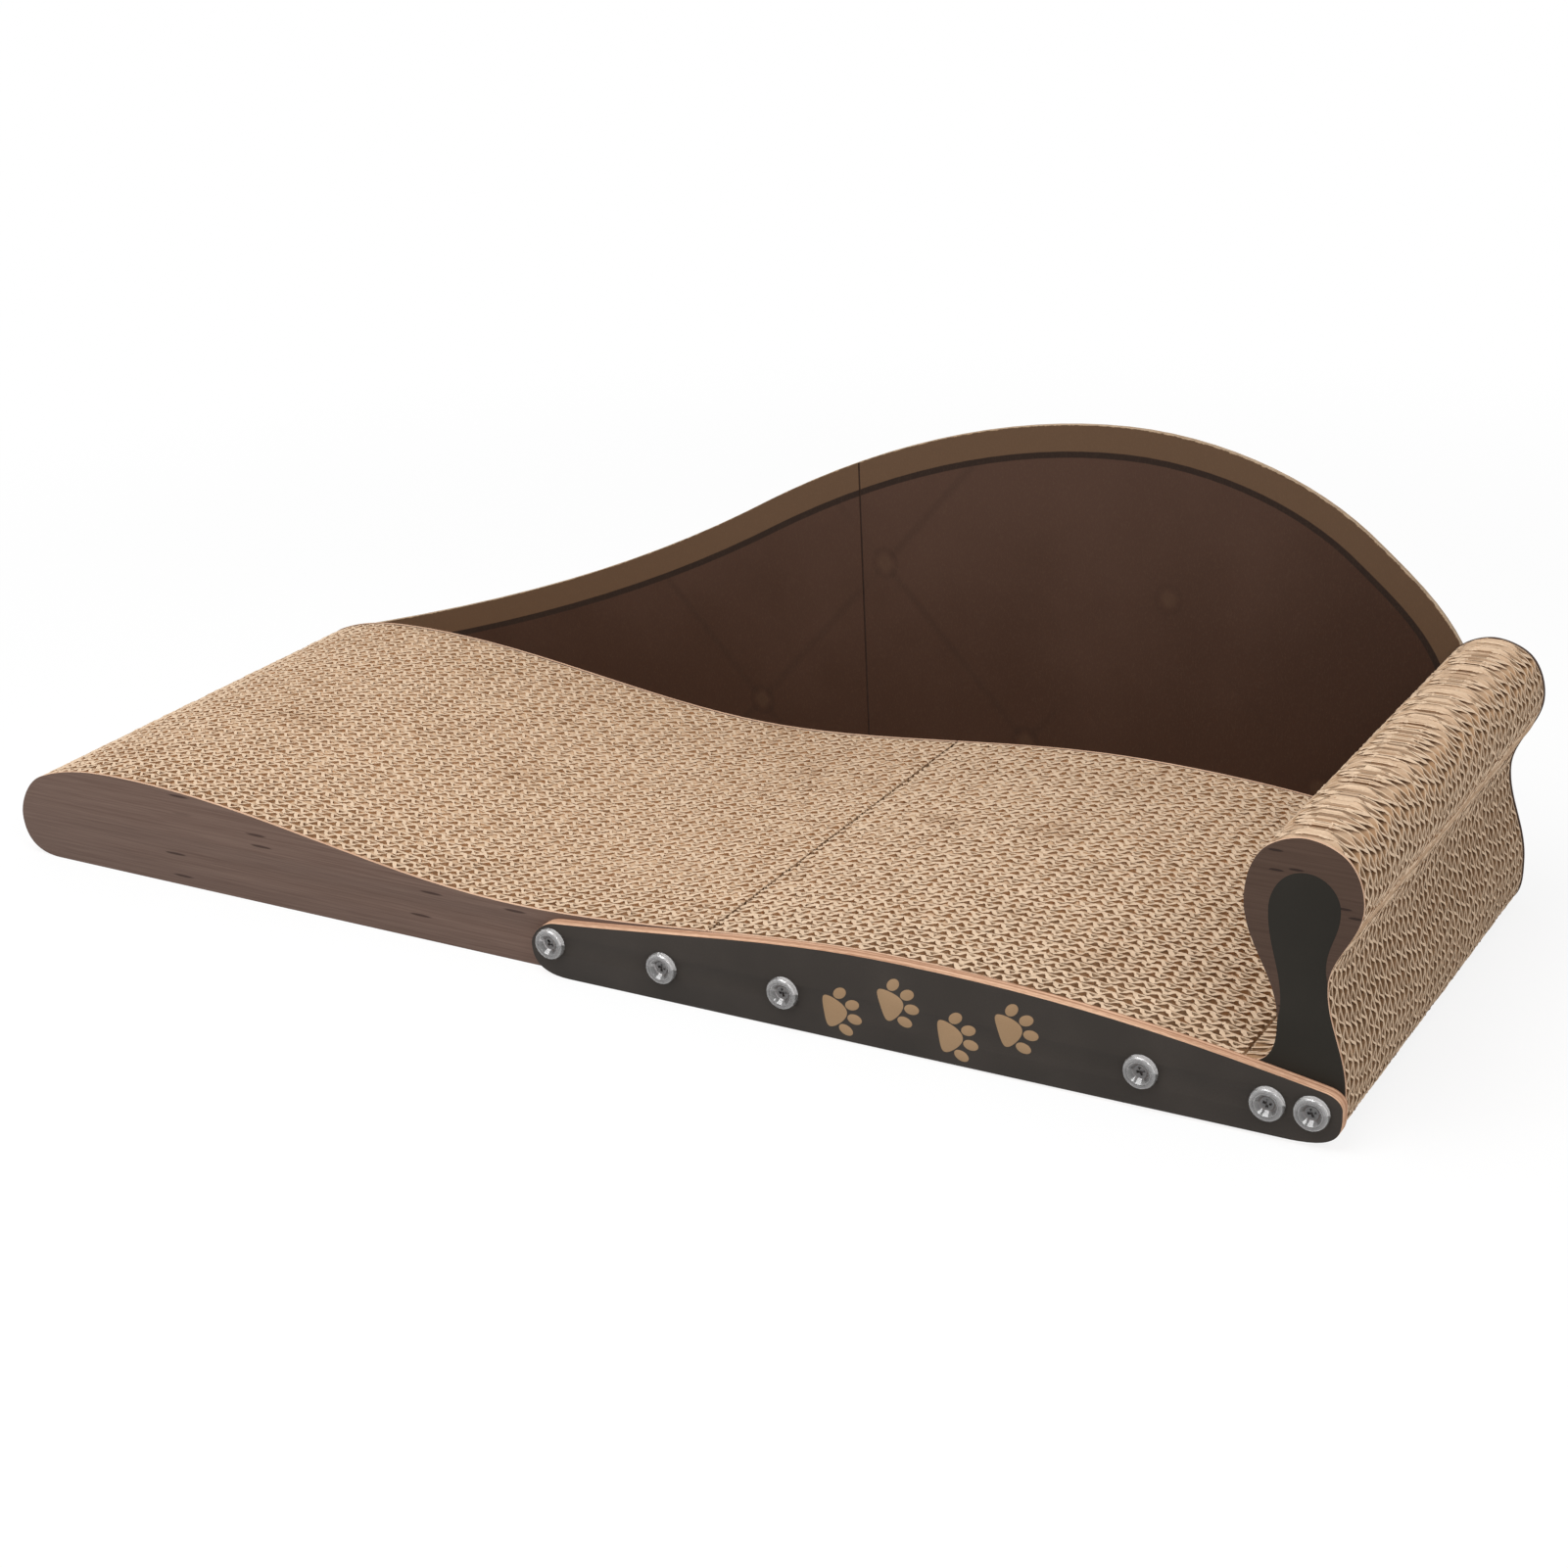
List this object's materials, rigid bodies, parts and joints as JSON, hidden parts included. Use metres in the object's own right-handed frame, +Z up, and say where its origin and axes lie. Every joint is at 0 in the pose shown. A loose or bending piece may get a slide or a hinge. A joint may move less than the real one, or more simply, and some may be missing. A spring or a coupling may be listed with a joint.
{
  "type": "cardboard cat scratcher",
  "caption": "Cardboard cat scratcher shaped like a chaise: a wave-shaped corrugated ramp and seat, a rolled armrest, a front rail and a tall back panel held by clear screws.",
  "frame": {"origin": "middle of the length and of the depth over the screw heads, on the floor", "axes": "+X along the length from the ramp's nose to the armrest, +Y from the rail to the back panel, +Z up"},
  "size_m": [0.6942, 0.255, 0.204],
  "materials": {
    "corrugated_kraft": "raw cut edge",
    "wood_print_card": "matte print",
    "solid_board": "raw cut edge",
    "charcoal_paper": "matte print",
    "brown_print_paper": "satin print",
    "kraft_paper": "matte",
    "clear_plastic": "clear moulded"
  },
  "bodies": {
    "root": {"ramp_boards_1": "corrugated_kraft", "ramp_boards_2": "corrugated_kraft", "ramp_boards_3": "corrugated_kraft", "ramp_boards_4": "corrugated_kraft", "ramp_boards_5": "corrugated_kraft", "ramp_boards_6": "corrugated_kraft", "ramp_front_sheet": "wood_print_card", "ramp_rear_sheet": "wood_print_card", "seat_boards_1": "corrugated_kraft", "seat_boards_2": "corrugated_kraft", "seat_boards_3": "corrugated_kraft", "seat_boards_4": "corrugated_kraft", "seat_boards_5": "corrugated_kraft", "seat_boards_6": "corrugated_kraft", "seat_front_sheet": "wood_print_card", "seat_rear_sheet": "wood_print_card", "armrest_boards_1": "corrugated_kraft", "armrest_boards_2": "corrugated_kraft", "armrest_boards_3": "corrugated_kraft", "armrest_boards_4": "corrugated_kraft", "armrest_boards_5": "corrugated_kraft", "armrest_boards_6": "corrugated_kraft", "armrest_front_sheet": "wood_print_card", "armrest_rear_sheet": "wood_print_card", "rail_board": "solid_board", "rail_front_paper": "charcoal_paper", "panel_board": "solid_board", "panel_front_paper_left": "brown_print_paper", "panel_front_paper_right": "brown_print_paper", "panel_rear_paper": "kraft_paper", "front_screws": "clear_plastic", "rear_screws": "clear_plastic"}
  },
  "joints": []
}
